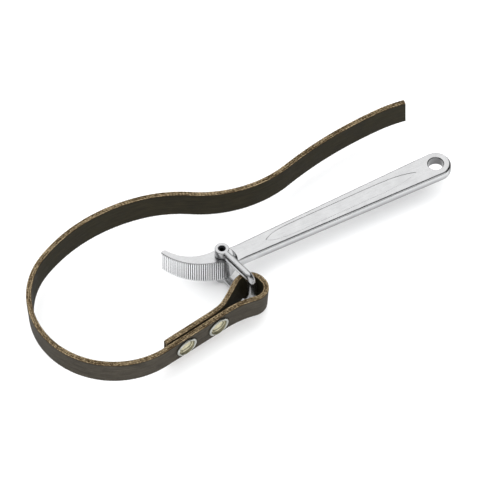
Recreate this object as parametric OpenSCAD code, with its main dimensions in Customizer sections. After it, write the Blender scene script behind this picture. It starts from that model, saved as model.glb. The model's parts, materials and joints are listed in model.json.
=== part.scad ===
// Strap wrench for oil filters.
// Chrome-plated forging with a serrated hook jaw, a round-bar shackle on a spring pin,
// and a long rubberised belt folded and riveted round the shackle's crossbar.
// Origin: centre of the hanging hole. +X points along the grip, away from the jaw. +Z is the pin axis.

/* [Handle forging] */
// Distance from the pivot pin to the hanging hole
pin_to_hole = 182; // [178:1:186]
// Thickness of the flat grip
grip_thickness = 8; // [6:0.5:10]
// Half width of the grip at the pivot
grip_half_width = 7.2; // [7:0.1:8]
// Radius of the grip's rounded end
end_radius = 11.4; // [10:0.1:12.4]
// Radius of the hanging hole
hang_hole_r = 5.8; // [4:0.1:6.5]
// Chamfer round each rim of the hanging hole
hang_hole_chamfer = 0.7; // [0.3:0.1:1.2]
// Height of the boss and of the jaw's root, along the pin
boss_height = 20; // [18:0.5:20.4]
// Radius of the pivot boss at its flat ends
boss_radius = 8.4; // [8:0.1:9]
// Radius where the boss's flank runs out into the grip
flank_radius = 12.2; // [11:0.1:14]

/* [Jaw] */
// Radius of the toothed outer face
jaw_radius = 45.3; // [45:0.1:46]
// Radius of the smooth inner face
jaw_inner_radius = 30.5; // [30:0.5:33]
// Direction of the jaw's tip from the outer face's centre
jaw_tip_angle = 197; // [196:0.5:215]
// Direction of the last tooth, beside the boss
jaw_root_angle = 266; // [255:1:268]
// Number of serrations
tooth_count = 34; // [20:1:40]
// Depth of each serration
tooth_depth = 0.9; // [0.3:0.1:1]
// Height that the jaw loses between root and tip, on each side
jaw_taper = 1.3; // [0:0.1:2]

/* [Shackle and pin] */
// Diameter of the shackle's round bar
bar_d = 6.6; // [5:0.2:7]
// Distance between the insides of the two arms
arm_gap = 21; // [20.8:0.1:23]
// Distance from the pin axis to the crossbar axis
shackle_reach = 34.6; // [34:0.2:38]
// Direction of the shackle at rest, from +X
shackle_angle = -80.8; // [-95:0.2:-70]
// Centreline radius of the two bends
bend_radius = 5.2; // [4.4:0.1:6]
// Outer diameter of each eye
eye_d = 10.8; // [10:0.1:12]
// Outer diameter of the spring pin
pin_d = 5.6; // [4:0.1:6]
// Radial running clearance between the pin and the boss
pin_clearance = 0.08; // [0.02:0.01:0.1]
// Wall of the rolled spring pin
pin_wall = 1; // [0.6:0.1:1.4]
// Depth of the pin's ends below the eyes' faces
pin_recess = 1.2; // [0.5:0.1:3]

/* [Strap] */
// Width of the strap
strap_width = 20; // [16:0.5:20]
// Thickness of the strap
strap_thickness = 4; // [3:0.1:4.2]
// Centreline radius of the loop round the crossbar
loop_radius = 10.75; // [10:0.25:12]
// Offset of the loop's centre from the crossbar
loop_offset = 3.5; // [3:0.25:4.5]
// Direction of that offset
loop_offset_angle = -130; // [-134:1:-116]
// Play between the two plies where they are riveted
ply_gap = 0.2; // [0.1:0.05:0.4]
// Length of the short ply beside the straight stretch
short_ply = 54.5; // [50:0.5:57]
// Gap left in the strap at each flexing line
flex_gap = 1.2; // [0.8:0.1:2]

/* [Rivets] */
// Distance of the first rivet from the start of the straight stretch
first_rivet = 9.8; // [9.8:0.1:14]
// Distance between the two rivets
rivet_pitch = 30; // [26:0.5:34]
// Diameter of the rolled head
rivet_head_d = 17.8; // [14:0.2:18]
// Diameter of the hollow shank
rivet_shank_d = 9.2; // [8:0.2:10]
// Height of the rolled rim over the strap
rivet_rim = 1.5; // [1:0.1:2]
// Diameter of the washer under the rolled tail
rivet_washer_d = 13.2; // [12.6:0.2:13.4]
// Thickness of that washer
rivet_washer_t = 0.8; // [0.5:0.1:1.2]

/* [Hidden] */
$fn = 96;
chrome = [0.86, 0.87, 0.89];
dark_steel = [0.2, 0.2, 0.21];
belt = [0.22, 0.2, 0.16];
belt_light = [0.3, 0.27, 0.21];
zinc = [0.72, 0.7, 0.6];
cut = 1;                                     // how far a cutting tool runs past the surface
pin_pos = [-pin_to_hole, 0];
jaw_toothed_edge = 7.3;                      // from the pin axis to the toothed face
jaw_smooth_edge = 6;                         // from the pin axis to the smooth inner face
jaw_shift = 5;                               // toothed face's centre, from the pin towards the grip
jaw_inner_shift = 5;                         // inner face's centre, from the pin towards the tip
jaw_centre = pin_pos + [jaw_shift, jaw_radius - jaw_toothed_edge];
jaw_inner_centre = pin_pos + [-jaw_inner_shift, jaw_inner_radius + jaw_smooth_edge];
jaw_tip_length = 38;                         // from the pin to the tip, along the grip
jaw_taper_start = 10;                        // from the pin to where the taper begins
jaw_back = 4.2;                              // how far the jaw's plan runs past the pin
bar_r = bar_d / 2;
arm_z = arm_gap / 2 + bar_r;
eye_top = arm_z + bar_r;
crossbar = pin_pos + shackle_reach * [cos(shackle_angle), sin(shackle_angle)];
loop_centre = crossbar + loop_offset * [cos(loop_offset_angle), sin(loop_offset_angle)];
// Direction, seen from the loop's centre, where the long ply leaves the loop
loop_exit = 258.75;
// Direction where the short ply leaves it
loop_entry = 127;
// The strap's route: [radius, turn] for an arc, [length, 0] for a straight. Left turns are positive.
fold_route = [[68, 20.25], [58, 0], [60, -15]];
near_route = [[60, -70], [66, -76]];
far_route = [[130, -40], [100, -22]];
tail_route = [[90, 49.5], [320, -15.5], [110, -11]];

// A state is [x, y, heading]
function loop_state(a) =
    [loop_centre[0] + loop_radius * cos(a), loop_centre[1] + loop_radius * sin(a), a - 90];
function arc_centre(s, r, side) = [s[0] - side * r * sin(s[2]), s[1] + side * r * cos(s[2])];
function step(s, seg) =
    seg[1] == 0
        ? [s[0] + seg[0] * cos(s[2]), s[1] + seg[0] * sin(s[2]), s[2]]
        : let (side = sign(seg[1]), c = arc_centre(s, seg[0], side), h = s[2] + seg[1])
          [c[0] + side * seg[0] * sin(h), c[1] - side * seg[0] * cos(h), h];
function walk(s, route, n) = n == 0 ? s : step(walk(s, route, n - 1), route[n - 1]);
function end_of(s, route) = walk(s, route, len(route));

fold_start = loop_state(loop_exit);
straight_start = walk(fold_start, fold_route, 1);
flex_1 = end_of(fold_start, fold_route);
flex_2 = end_of(flex_1, near_route);
flex_3 = end_of(flex_2, far_route);

// The short ply leaves the loop, runs straight and bends parallel to the long ply
ply_pitch = strap_thickness + ply_gap;
ply_bend_radius = 16;                        // radius of the strap's centre line there
entry_state = loop_state(loop_entry) + [0, 0, 180];
ply_turn = straight_start[2] - entry_state[2];
ply_normal = [sin(straight_start[2]), -cos(straight_start[2])];
ply_drop = (entry_state[0] - straight_start[0]) * ply_normal[0]
         + (entry_state[1] - straight_start[1]) * ply_normal[1] - ply_pitch;
ply_run = (ply_drop - ply_bend_radius * (1 - cos(ply_turn))) / sin(-ply_turn);
ply_meets = end_of(entry_state, [[ply_run, 0], [ply_bend_radius, ply_turn]]);
ply_lead = (ply_meets[0] - straight_start[0]) * cos(straight_start[2])
         + (ply_meets[1] - straight_start[1]) * sin(straight_start[2]);
short_end = step(ply_meets, [short_ply - ply_lead, 0]) - [0, 0, 180];
loop_wrap = loop_exit - 360 - loop_entry;
whole_fold_route = concat(
    [[short_ply - ply_lead, 0], [ply_bend_radius, -ply_turn], [ply_run, 0], [loop_radius, loop_wrap]],
    fold_route);

// ---- handle ----

// Half of the angle between the grip's two long edges
edge_slope = asin((end_radius - grip_half_width) / pin_to_hole);

module grip_plan() {
    polygon([
        pin_pos + grip_half_width * [-sin(edge_slope), cos(edge_slope)],
        pin_pos + grip_half_width * [-sin(edge_slope), -cos(edge_slope)],
        end_radius * [-sin(edge_slope), -cos(edge_slope)],
        end_radius * [-sin(edge_slope), cos(edge_slope)]
    ]);
    circle(r = end_radius);
}

function on_jaw(r, a) = jaw_centre + r * [cos(a), sin(a)];
tooth_angle = (jaw_root_angle - jaw_tip_angle) / tooth_count;
crest_start = 0.25;                          // shares of one tooth's pitch
crest_end = 0.7;
groove = 0.95;
tooth_shares = [crest_start, crest_end, groove];
root_margin = 2;                             // degrees of plain face past the last tooth
tip_bevel = 1;
tip_depth = 8;                               // runs into the inner face's cut
taper_cut = [60, 120, 20];                   // block that trims each of the jaw's flat faces

module jaw_plan() {
    polygon(concat(
        [on_jaw(jaw_radius - tip_depth, jaw_tip_angle), on_jaw(jaw_radius - tip_bevel, jaw_tip_angle)],
        [for (i = [0 : tooth_count - 1], k = [0 : 2])
            on_jaw(jaw_radius - (k == 2 ? tooth_depth : 0),
                   jaw_tip_angle + (i + tooth_shares[k]) * tooth_angle)],
        [on_jaw(jaw_radius, jaw_root_angle + root_margin),
         pin_pos + [jaw_back, -grip_half_width],
         pin_pos + [jaw_back, grip_half_width],
         jaw_inner_centre - [0, jaw_inner_radius - tip_bevel]]
    ));
}

module jaw() {
    slope = atan(jaw_taper / (jaw_tip_length - jaw_taper_start));
    difference() {
        translate([0, 0, -boss_height / 2]) linear_extrude(height = boss_height) jaw_plan();
        for (side = [0, 1]) mirror([0, 0, side])
            translate([pin_pos[0] - jaw_taper_start, 0, boss_height / 2])
                rotate([0, -slope, 0]) translate([-taper_cut[0], -taper_cut[1] / 2, 0]) cube(taper_cut);
    }
}

// The boss, flush with the jaw's toothed face
module boss() {
    intersection() {
        translate([pin_pos[0], 0, 0]) cylinder(r = boss_radius, h = boss_height, center = true);
        translate([jaw_centre[0], jaw_centre[1], 0])
            cylinder(r = jaw_radius - tooth_depth, h = boss_height + 2 * cut, center = true);
    }
}

module boss_flanks() {
    intersection() {
        translate([0, 0, -boss_height / 2]) linear_extrude(height = boss_height) grip_plan();
        translate([pin_pos[0], 0, 0]) rotate_extrude()
            polygon([
                [0, -boss_height / 2],
                [boss_radius, -boss_height / 2],
                [flank_radius, -grip_thickness / 2],
                [flank_radius, grip_thickness / 2],
                [boss_radius, boss_height / 2],
                [0, boss_height / 2]
            ]);
    }
}

rim_overlap = 0.01;                          // keeps the chamfer's cutter clear of the flat face

module handle() {
    bore_r = pin_d / 2 + pin_clearance;
    rim = hang_hole_chamfer + rim_overlap;
    color(chrome) difference() {
        union() {
            translate([0, 0, -grip_thickness / 2]) linear_extrude(height = grip_thickness) grip_plan();
            boss_flanks();
            boss();
            jaw();
        }
        translate([jaw_inner_centre[0], jaw_inner_centre[1], 0])
            cylinder(r = jaw_inner_radius, h = boss_height + 2 * cut, center = true);
        translate([pin_pos[0], 0, 0]) cylinder(r = bore_r, h = boss_height + 2 * cut, center = true);
        cylinder(r = hang_hole_r, h = grip_thickness + 2 * cut, center = true);
        for (side = [0, 1]) mirror([0, 0, side])
            translate([0, 0, grip_thickness / 2 - hang_hole_chamfer])
                cylinder(r1 = hang_hole_r, r2 = hang_hole_r + rim, h = rim);
    }
}

// ---- shackle and pin ----

module at_pin() { translate([pin_pos[0], pin_pos[1], 0]) children(); }

module shackle() {
    arm_length = shackle_reach - bend_radius;
    color(chrome) at_pin() rotate([0, 0, shackle_angle]) difference() {
        union() {
            for (side = [0, 1]) mirror([0, 0, side]) {
                translate([0, 0, arm_z - bar_r]) cylinder(d = eye_d, h = bar_d);
                translate([0, 0, arm_z]) rotate([0, 90, 0]) cylinder(r = bar_r, h = arm_length);
                translate([arm_length, 0, arm_z - bend_radius]) rotate([90, 0, 0])
                    rotate_extrude(angle = 90) translate([bend_radius, 0]) circle(r = bar_r);
            }
            translate([shackle_reach, 0, 0])
                cylinder(r = bar_r, h = 2 * (arm_z - bend_radius), center = true);
        }
        cylinder(d = pin_d, h = 2 * (eye_top + cut), center = true);
    }
}

module pivot_pin() {
    length = 2 * (eye_top - pin_recess);
    slot = 0.8;                              // along the rolled pin
    color(dark_steel) at_pin() difference() {
        cylinder(d = pin_d, h = length, center = true);
        cylinder(d = pin_d - 2 * pin_wall, h = length + 2 * cut, center = true);
        translate([0, -slot / 2, -length / 2 - cut]) cube([pin_d, slot, length + 2 * cut]);
    }
}

// ---- strap ----

module place(s) { translate([s[0], s[1], 0]) rotate([0, 0, s[2]]) children(); }

// States along one segment, close enough together for its curve
facet_turn = 6;
facet_length = 8;
function along(s, seg) =
    let (turn = abs(seg[1]), arc = turn * seg[0] * PI / 180)
    let (n = turn == 0 ? 1 : ceil(max(turn / facet_turn, arc / facet_length)))
    [for (k = [1 : n]) step(s, turn == 0 ? seg : [seg[0], seg[1] * k / n])];

// A point beside state s, to its left by d
function beside(s, d) = [s[0] - d * sin(s[2]), s[1] + d * cos(s[2])];

// The strap standing on edge along a route that starts at state s
module strap_run(s, route) {
    states = concat([s], [for (i = [0 : len(route) - 1]) each along(walk(s, route, i), route[i])]);
    last = len(states) - 1;
    translate([0, 0, -strap_width / 2]) linear_extrude(height = strap_width) polygon(concat(
        [for (k = [0 : last]) beside(states[k], strap_thickness / 2)],
        [for (k = [0 : last]) beside(states[last - k], -strap_thickness / 2)]
    ));
}

// The narrow slot that lets the strap flex at state s
module flex_slot(s) {
    place(s) cube([flex_gap, strap_thickness + 4 * cut, strap_width + 2 * cut], center = true);
}

// A rivet's own frame: origin on the outer face of the long ply, +Z out of the strap
module at_rivet(n) {
    place(step(straight_start, [first_rivet + n * rivet_pitch, 0]))
        translate([0, strap_thickness / 2, 0]) rotate([-90, 0, 0]) children();
}

module strap_fold() {
    color(belt) difference() {
        strap_run(short_end, whole_fold_route);
        flex_slot(flex_1);
        for (n = [0, 1]) at_rivet(n)
            translate([0, 0, -3 * ply_pitch]) cylinder(d = rivet_shank_d, h = 6 * ply_pitch);
    }
}

module strap_near() {
    color(belt_light) difference() {
        strap_run(flex_1, near_route);
        flex_slot(flex_1);
        flex_slot(flex_2);
    }
}

module strap_far() {
    color(belt) difference() {
        strap_run(flex_2, far_route);
        flex_slot(flex_2);
        flex_slot(flex_3);
    }
}

module strap_tail() {
    color(belt_light) difference() {
        strap_run(flex_3, tail_route);
        flex_slot(flex_3);
    }
}

// ---- rivets ----

stack = 2 * strap_thickness + ply_gap;       // both plies
shank_wall = 0.8;
tail_roll = 1.2;                             // height of the shank's rolled end over its washer
roll_crown = 1;                              // from the shank to the roll's crown
roll_width = 1.6;                            // from the shank to the roll's widest point
roll_edge = 0.4;
head_edge = 0.5;
rim_width = 1.3;                             // of the head's raised rim
dish_rim = 0.4;                              // height of the head round the dish
dish_depth = 2.4;
dish_wall = 1;                               // from the bore to the dish's wall
dish_floor = 2.2;                            // from the bore to the dish's flat floor

module rivet(n) {
    shank_r = rivet_shank_d / 2;
    bore_r = shank_r - shank_wall;
    head_r = rivet_head_d / 2;
    tail = stack + rivet_washer_t;
    color(zinc) at_rivet(n) rotate_extrude() polygon([
        [0, -dish_depth - shank_wall],
        [bore_r, -dish_depth - shank_wall],
        [bore_r, -tail - tail_roll / 2],
        [shank_r, -tail - tail_roll],
        [shank_r + roll_crown, -tail - tail_roll],
        [shank_r + roll_width, -tail - roll_edge],
        [shank_r + roll_width, -tail],
        [shank_r, -tail],
        [shank_r, 0],
        [head_r - head_edge, 0],
        [head_r, head_edge],
        [head_r, rivet_rim - head_edge],
        [head_r - head_edge, rivet_rim],
        [head_r - rim_width, rivet_rim - head_edge / 2],
        [shank_r, dish_rim],
        [bore_r - dish_wall, -dish_depth / 2],
        [bore_r - dish_floor, -dish_depth],
        [0, -dish_depth]
    ]);
}

module rivet_washer(n) {
    color(zinc) at_rivet(n) translate([0, 0, -stack - rivet_washer_t]) difference() {
        cylinder(d = rivet_washer_d, h = rivet_washer_t);
        translate([0, 0, -cut]) cylinder(d = rivet_shank_d, h = rivet_washer_t + 2 * cut);
    }
}

handle();
shackle();
pivot_pin();
strap_fold();
strap_near();
strap_far();
strap_tail();
rivet(0);  // front_rivet
rivet(1);  // rear_rivet
rivet_washer(0);  // front_rivet_washer
rivet_washer(1);  // rear_rivet_washer
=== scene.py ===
"""Strap wrench for oil filters: a chrome forging, a round-bar shackle on a spring pin and a riveted belt.
Everything is worked out in millimetres in the CAD's frame and turned into metres where meshes are made."""
import bpy, bmesh, json, math
import numpy as np
from mathutils import Matrix, Vector, noise
from mathutils.geometry import delaunay_2d_cdt


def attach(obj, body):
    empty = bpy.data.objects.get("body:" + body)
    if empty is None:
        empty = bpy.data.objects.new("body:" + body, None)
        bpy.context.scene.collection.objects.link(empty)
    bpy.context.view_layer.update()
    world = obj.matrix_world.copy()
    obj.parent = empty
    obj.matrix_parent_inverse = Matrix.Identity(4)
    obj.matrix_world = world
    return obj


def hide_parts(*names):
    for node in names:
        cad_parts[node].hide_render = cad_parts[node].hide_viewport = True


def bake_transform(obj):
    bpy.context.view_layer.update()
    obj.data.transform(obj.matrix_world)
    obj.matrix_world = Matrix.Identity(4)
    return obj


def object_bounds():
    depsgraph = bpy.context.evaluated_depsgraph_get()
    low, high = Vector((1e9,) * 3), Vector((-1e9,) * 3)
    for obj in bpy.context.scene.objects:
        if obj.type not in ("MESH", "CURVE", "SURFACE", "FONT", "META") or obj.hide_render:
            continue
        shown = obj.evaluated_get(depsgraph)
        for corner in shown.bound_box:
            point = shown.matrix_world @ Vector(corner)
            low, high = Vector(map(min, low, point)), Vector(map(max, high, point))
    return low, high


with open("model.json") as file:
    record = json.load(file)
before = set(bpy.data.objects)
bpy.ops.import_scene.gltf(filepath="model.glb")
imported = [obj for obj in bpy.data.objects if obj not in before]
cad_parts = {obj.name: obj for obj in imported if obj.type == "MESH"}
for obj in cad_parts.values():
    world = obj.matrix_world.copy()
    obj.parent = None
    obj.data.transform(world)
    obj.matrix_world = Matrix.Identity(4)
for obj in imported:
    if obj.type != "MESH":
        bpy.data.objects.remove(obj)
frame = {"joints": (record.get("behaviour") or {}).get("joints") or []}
cad_lo, cad_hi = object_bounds()

MM = 0.001
JOINTS = {j["name"]: j for j in frame["joints"]}


def joint_mm(name):
    return np.array(JOINTS[name]["pos_m"]) / MM


def cosd(a):
    return math.cos(math.radians(a))


def sind(a):
    return math.sin(math.radians(a))


def smooth(t):
    """0 to 1 with soft ends, as t goes from 0 to 1."""
    t = min(1.0, max(0.0, t))
    return t * t * (3 - 2 * t)


def polar(centre, r, angle):
    return centre[0] + r * cosd(angle), centre[1] + r * sind(angle)


def bearing(centre, x, y):
    return math.degrees(math.atan2(y - centre[1], x - centre[0]))


def wobble(*p):
    """Smooth repeatable noise, about -1 to 1."""
    return noise.noise(Vector(p))


def shade(colour, share):
    return tuple(c * share for c in colour)


# ---------------------------------------------------------------- camera
AZIMUTH, ELEVATION = -30.0, 51.0
VIEW_WIDTH = 0.35294                             # metres across the frame at the target
TARGET = Vector((-0.15964, 0.01211, 0.0))
LENS = 1400.0

back = Vector((sind(AZIMUTH) * cosd(ELEVATION), -cosd(AZIMUTH) * cosd(ELEVATION), sind(ELEVATION)))
cam_data = bpy.data.cameras.new("camera")
cam_data.lens = LENS
cam = bpy.data.objects.new("camera", cam_data)
bpy.context.scene.collection.objects.link(cam)
distance = VIEW_WIDTH / 2 / (cam_data.sensor_width / 2 / LENS)
cam.location = TARGET + back * distance
cam.rotation_mode = "QUATERNION"
cam.rotation_quaternion = (-back).to_track_quat("-Z", "Y")
cam_data.clip_start, cam_data.clip_end = 0.05, 60.0
bpy.context.scene.camera = cam


# ---------------------------------------------------------------- shader helpers
class Paint:
    """A material built from nodes round one Principled shader."""

    def __init__(self, name, **sockets):
        self.mat = bpy.data.materials.new(name)
        self.mat.use_nodes = True
        self.nt = self.mat.node_tree
        self.shader = next(n for n in self.nt.nodes if n.type == "BSDF_PRINCIPLED")
        for key, value in sockets.items():
            self.shader.inputs[key.replace("_", " ")].default_value = value

    def node(self, kind, **inputs):
        n = self.nt.nodes.new("ShaderNode" + kind)
        for key, value in inputs.items():
            if key[0].islower():
                setattr(n, key, value)
            else:
                self.feed(n.inputs[key.replace("_", " ")], value)
        return n

    def feed(self, socket, value):
        if isinstance(value, bpy.types.NodeSocket):
            self.nt.links.new(value, socket)
        else:
            socket.default_value = value

    def set(self, name, value):
        self.feed(self.shader.inputs[name], value)

    def millimetres(self, scale=(1, 1, 1)):
        """Object coordinates in millimetres, stretched by scale."""
        where = self.node("TexCoord").outputs["Object"]
        return self.stretch(where, [s / MM for s in scale])

    def belt(self, scale=(1, 1, 1)):
        """The belt's own coordinates: along it, through it and up it, in millimetres."""
        where = self.node("Attribute", attribute_name="belt").outputs["Vector"]
        return self.stretch(where, scale)

    def stretch(self, vector, scale):
        m = self.node("Mapping", Vector=vector)
        m.inputs["Scale"].default_value = scale
        return m.outputs["Vector"]

    def part(self, vector, axis):
        return self.node("SeparateXYZ", Vector=vector).outputs[axis]

    def noise(self, vector, scale, detail=3.0, rough=0.5):
        n = self.node("TexNoise", Vector=vector, Scale=scale, Detail=detail, Roughness=rough)
        return n.outputs["Fac"]

    def waves(self, vector, direction, scale, distortion, detail):
        n = self.node("TexWave", bands_direction=direction, wave_type="BANDS", Scale=scale,
                      Distortion=distortion, Detail=detail, Vector=vector)
        return n.outputs["Fac"]

    def plan_distance(self, centre):
        """Distance from the vertical line through a point of the plan, in millimetres."""
        where = self.millimetres()
        across = [self.math("SUBTRACT", self.part(where, axis), c) for axis, c in zip("XY", centre)]
        squares = [self.math("MULTIPLY", c, c) for c in across]
        return self.math("SQRT", self.math("ADD", *squares))

    def math(self, operation, *values):
        n = self.node("Math", operation=operation)
        for i, v in enumerate(values):
            self.feed(n.inputs[i], v)
        return n.outputs[0]

    def span(self, value, lo, hi, to_lo=0.0, to_hi=1.0):
        """Value from lo..hi mapped to to_lo..to_hi, clamped."""
        n = self.node("MapRange")
        for i, v in enumerate((value, lo, hi, to_lo, to_hi)):
            self.feed(n.inputs[i], v)
        return n.outputs[0]

    def mix(self, share, a, b):
        n = self.node("Mix", data_type="RGBA")
        self.feed(n.inputs["Factor"], share)
        for socket, value in zip([s for s in n.inputs if s.type == "RGBA"], (a, b)):
            self.feed(socket, (*value, 1.0) if isinstance(value, tuple) else value)
        return next(s for s in n.outputs if s.type == "RGBA")

    def bump(self, height, distance, strength=1.0, normal=None):
        n = self.node("Bump", Height=height, Distance=distance * MM, Strength=strength)
        if normal is not None:
            self.feed(n.inputs["Normal"], normal)
        return n.outputs["Normal"]


def chrome(name, base, rough, along=(0.05, 1.2, 1.2), grime_and_painted_light=None):
    """Polished plating: faint polishing lines, an uneven forged surface under them and a few dull specks.
    The function given last, called with (paint, base, colour, roughness), may change the last two where one
    piece looks different: grime, painted shade, painted highlights and painted reflections."""
    p = Paint(name, Metallic=1.0)
    where = p.millimetres()
    lines = p.noise(p.millimetres(along), 3.0, 4.0, 0.6)
    cloud = p.noise(where, 0.09, 3.0, 0.55)
    grain = p.noise(where, 2.4, 5.0, 0.6)
    haze = p.span(p.math("ADD", lines, cloud), 0.8, 1.25)
    colour = p.mix(haze, base, shade(base, 0.9))
    specks = p.span(p.noise(where, 1.1, 2.0, 0.5), 0.70, 0.78)
    colour = p.mix(p.math("MULTIPLY", specks, 0.35), colour, shade(base, 0.55))
    roughness = p.span(p.math("ADD", lines, grain), 0.7, 1.3, rough * 0.75, rough * 1.35)
    if grime_and_painted_light:
        colour, roughness = grime_and_painted_light(p, base, colour, roughness)
    p.set("Base Color", colour)
    p.set("Roughness", roughness)
    uneven = p.bump(cloud, 0.35, 0.6)
    p.set("Normal", p.bump(lines, 0.004, 0.5, p.bump(grain, 0.003, 0.5, uneven)))
    return p.mat


def rubber(name, base, dusty):
    """One face of the belt: matt rubber over a woven core, its weave just showing, dusty in patches."""
    p = Paint(name, IOR=1.5, Specular_IOR_Level=0.16)
    w = p.belt()
    warp = p.waves(w, "X", 0.42, 0.6, 1.0)
    weft = p.waves(w, "Z", 0.46, 0.6, 1.0)
    weave = p.math("MULTIPLY", warp, weft)
    mottle = p.noise(p.belt((0.5, 1.0, 1.0)), 0.22, 5.0, 0.65)
    fine = p.noise(w, 1.9, 4.0, 0.7)
    streak = p.noise(p.belt((0.06, 1.0, 1.4)), 0.9, 3.0, 0.6)
    dust = p.span(p.math("ADD", p.math("ADD", mottle, fine), streak), 1.15, 1.9)
    colour = p.mix(dust, base, dusty)
    colour = p.mix(p.math("MULTIPLY", weave, 0.18), colour, shade(base, 0.45))
    worn_corner = p.span(p.math("ABSOLUTE", p.part(w, "Z")), 8.9, 9.8)
    colour = p.mix(p.math("MULTIPLY", worn_corner, 0.6), colour, shade(base, 0.35))
    p.set("Base Color", colour)
    p.set("Roughness", p.span(p.math("ADD", mottle, fine), 0.7, 1.3, 0.62, 0.9))
    p.set("Normal", p.bump(weave, 0.10, 0.5, p.bump(fine, 0.08, 0.6)))
    return p.mat


def cut_edge(name, fibre, pale, dark):
    """The belt's cut edge: rows of twisted cord in a brown laminate, with dark rubber between the plies."""
    p = Paint(name, IOR=1.45, Specular_IOR_Level=0.12)
    off_middle = p.math("ABSOLUTE", p.part(p.belt(), "Y"))
    cords = p.waves(p.belt((1.0, 1.9, 0.0)), "DIAGONAL", 0.26, 3.0, 3.0)
    fray = p.noise(p.belt((0.40, 1.5, 0.6)), 1.0, 4.0, 0.8)
    patch = p.noise(p.belt((0.10, 0.8, 0.4)), 0.6, 3.0, 0.6)
    colour = p.mix(p.span(p.math("ADD", fray, p.math("MULTIPLY", patch, 0.5)), 0.70, 0.82), fibre, pale)
    colour = p.mix(p.math("MULTIPLY", p.span(cords, 0.62, 0.18), 0.72), colour, shade(fibre, 0.32))
    seam_at = p.math("ADD", off_middle, p.span(patch, 0.3, 0.7, -0.12, 0.12))
    seam = p.span(p.math("ABSOLUTE", p.math("SUBTRACT", seam_at, PLY_SEAM)), 0.10, 0.36, 1.0, 0.0)
    frayed_seam = p.math("MULTIPLY", seam, p.span(fray, 0.36, 0.6, 1.0, 0.35))
    colour = p.mix(p.math("MULTIPLY", frayed_seam, 0.92), colour, dark)
    skin = p.span(p.math("ADD", off_middle, p.span(fray, 0.3, 0.7, -0.2, 0.2)), 1.76, 1.98)
    colour = p.mix(p.math("MULTIPLY", skin, 0.92), colour, dark)
    p.set("Base Color", colour)
    p.set("Roughness", p.span(fray, 0.3, 0.7, 0.72, 0.95))
    p.set("Normal", p.bump(cords, 0.22, 0.7, p.bump(fray, 0.25, 0.8)))
    return p.mat


def plated(name, base, tint, rough, worn=0.5):
    """Dull plating on pressed steel: clouded, stained and slightly scratched."""
    p = Paint(name, Metallic=1.0)
    cloud = p.noise(p.millimetres(), 0.35, 4.0, 0.6)
    fine = p.noise(p.millimetres(), 3.2, 4.0, 0.65)
    scratch = p.noise(p.millimetres((0.4, 3.0, 3.0)), 1.6, 3.0, 0.6)
    colour = p.mix(p.span(cloud, 0.35, 0.68), base, tint)
    colour = p.mix(p.math("MULTIPLY", p.span(fine, 0.55, 0.75), worn), colour, shade(tint, 0.6))
    p.set("Base Color", colour)
    p.set("Roughness", p.span(p.math("ADD", cloud, scratch), 0.75, 1.25, rough * 0.8, rough * 1.3))
    p.set("Normal", p.bump(scratch, 0.01, 0.6, p.bump(fine, 0.02, 0.6)))
    return p.mat


# ---------------------------------------------------------------- mesh helpers
def make(name, verts, faces, materials, slot, material_of=None, sharp=38.0):
    """A mesh piece from points in millimetres. material_of gives each face's material index."""
    me = bpy.data.meshes.new(name)
    me.from_pydata([(x * MM, y * MM, z * MM) for x, y, z in verts], [], [tuple(f) for f in faces])
    for m in materials:
        me.materials.append(m)
    if material_of is not None:
        me.polygons.foreach_set("material_index", np.array(material_of, np.int32))
    me.polygons.foreach_set("use_smooth", np.ones(len(me.polygons), bool))
    me.update()
    me.set_sharp_from_angle(angle=math.radians(sharp))
    obj = bpy.data.objects.new(name, me)
    bpy.context.scene.collection.objects.link(obj)
    return obj


def outward(obj):
    """Makes all faces point out."""
    bm = bmesh.new()
    bm.from_mesh(obj.data)
    bmesh.ops.recalc_face_normals(bm, faces=bm.faces)
    bm.to_mesh(obj.data)
    bm.free()
    return obj


def lathe(profile, segments, shape=None):
    """Points and faces of a closed profile of (radius, height) turned about Z.
    shape(angle, r, z) may move a point."""
    verts, faces, rows = [], [], []
    for r, z in profile:
        if r < 1e-6:
            rows.append([len(verts)])
            verts.append((0.0, 0.0, z))
            continue
        row = []
        for k in range(segments):
            a = 2 * math.pi * k / segments
            rr, zz = shape(a, r, z) if shape else (r, z)
            row.append(len(verts))
            verts.append((rr * math.cos(a), rr * math.sin(a), zz))
        rows.append(row)
    count = len(rows)
    closed = len(rows[0]) > 1 or len(rows[-1]) > 1
    for i in range(count if closed else count - 1):
        lo, hi = rows[i], rows[(i + 1) % count]
        for k in range(segments):
            quad = [lo[k % len(lo)], lo[(k + 1) % len(lo)], hi[(k + 1) % len(hi)], hi[k % len(hi)]]
            face = [v for j, v in enumerate(quad) if v != quad[j - 1]]
            if len(face) > 2:
                faces.append(face)
    return verts, faces


def moved(verts, matrix):
    return [tuple(matrix @ Vector(v)) for v in verts]


def rounded(corners, radius, steps=4):
    """A closed (r, z) profile with its marked corners rounded. corners are (r, z, share of radius)."""
    out = []
    n = len(corners)
    for i, (r, z, share) in enumerate(corners):
        p, a, b = Vector((r, z)), Vector(corners[i - 1][:2]), Vector(corners[(i + 1) % n][:2])
        if share == 0:
            out.append((r, z))
            continue
        u, v = (a - p).normalized(), (b - p).normalized()
        reach = radius * share
        for k in range(steps + 1):
            t = k / steps
            q = (p + u * reach) * (1 - t) ** 2 + p * (2 * t * (1 - t)) + (p + v * reach) * t ** 2
            out.append((q.x, q.y))
    return out


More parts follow.
